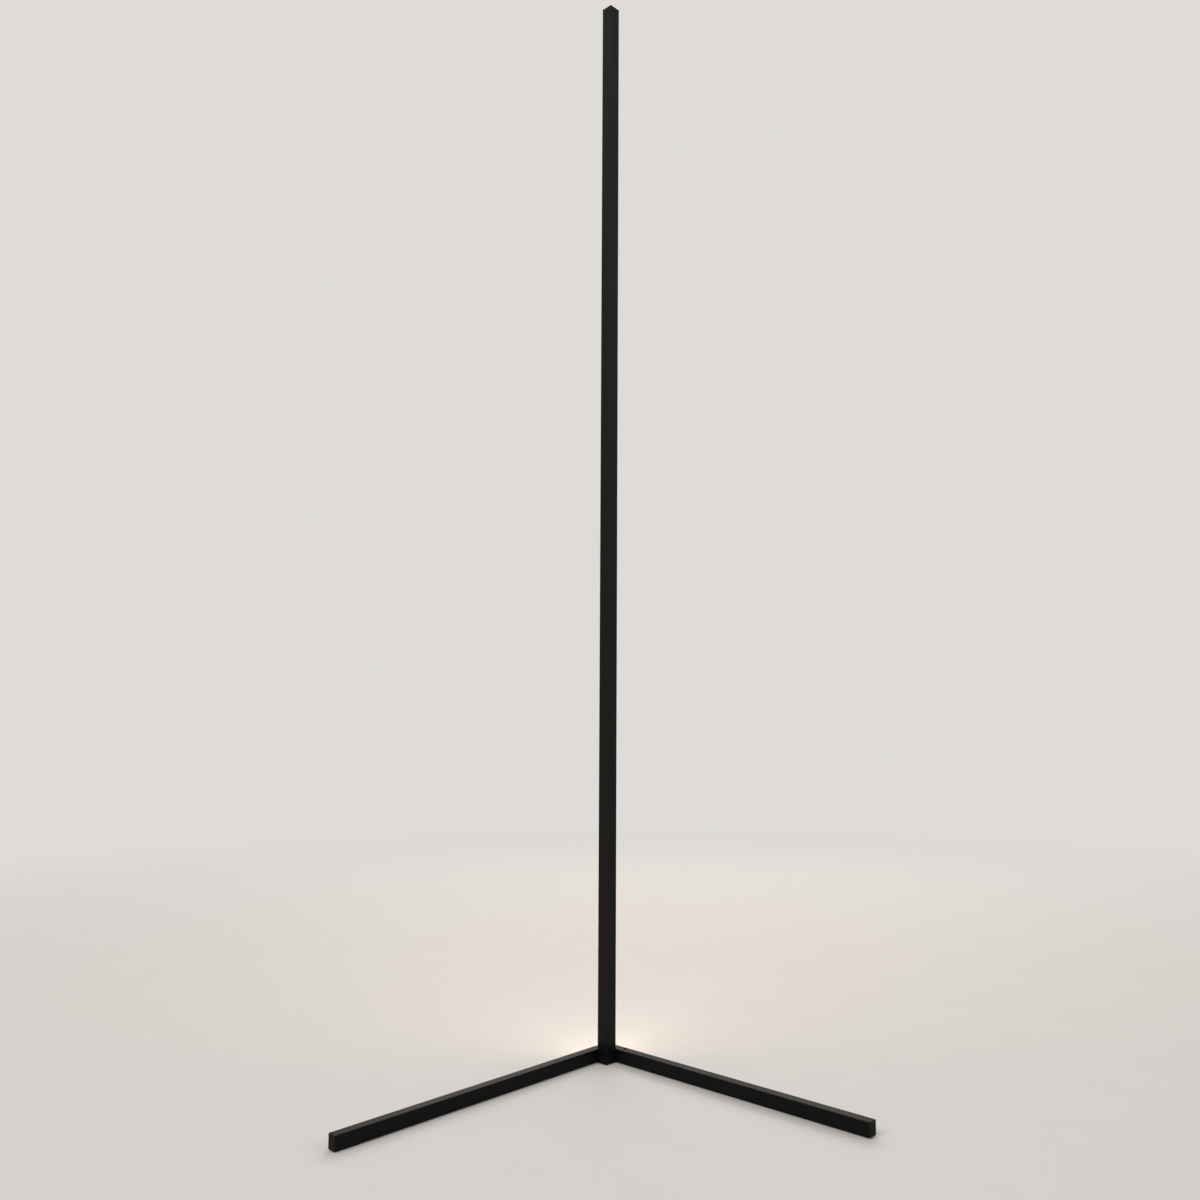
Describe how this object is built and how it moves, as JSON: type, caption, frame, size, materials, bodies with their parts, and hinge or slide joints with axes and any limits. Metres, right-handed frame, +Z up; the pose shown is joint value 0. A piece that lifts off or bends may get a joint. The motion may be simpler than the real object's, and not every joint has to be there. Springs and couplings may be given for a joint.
{
  "type": "corner floor lamp",
  "caption": "Slim corner floor lamp: a tall square-edged mast that lights the wall behind it, on two low bar feet set at a right angle.",
  "frame": {"origin": "the mast's axis on the floor, at the underside of the pad below the mast", "axes": "+Z up along the mast, -Y towards the room, where the mast's sharp edge points, +Y towards the wall corner that the lamp lights"},
  "size_m": [0.5512, 0.2841, 1.4],
  "materials": {
    "black_powder_coat": "satin",
    "black_anodised": "satin",
    "black_plastic": "matte",
    "opal_plastic": "satin",
    "rubber_pad": "matte",
    "dark_screw": "satin",
    "white_board": "satin",
    "led_phosphor": "satin",
    "green_board": "satin",
    "component_black": "matte",
    "bright_metal": "polished",
    "red_insulation": "satin",
    "black_insulation": "satin",
    "switch_grey": "matte"
  },
  "bodies": {
    "lamp": {"corner_connector": "black_powder_coat", "left_foot": "black_powder_coat", "right_foot": "black_powder_coat", "foot_screws": "dark_screw", "floor_pads": "rubber_pad", "mast_profile": "black_anodised", "mast_screws": "dark_screw", "diffuser": "opal_plastic", "top_cap": "black_plastic", "led_strip": "white_board", "led_chips": "led_phosphor", "strip_resistors": "component_black", "bay_cover": "black_plastic", "bay_cover_screws": "dark_screw", "dimmer_board": "green_board", "dimmer_chip": "component_black", "power_inductor": "component_black", "board_capacitor": "bright_metal", "board_resistors": "component_black", "power_inlet": "component_black", "inlet_pin": "bright_metal", "switch_body": "switch_grey", "red_lead": "red_insulation", "black_lead": "black_insulation"},
    "button": {"power_button": "black_plastic", "switch_plunger": "component_black"}
  },
  "joints": [
    {"name": "button_press", "type": "slide", "parent": "lamp", "child": "button", "axis": [0, 0, -1], "range_m": [0, 0.0005], "stiffness_N_per_m": 1000, "springref_m": -0.0005}
  ]
}
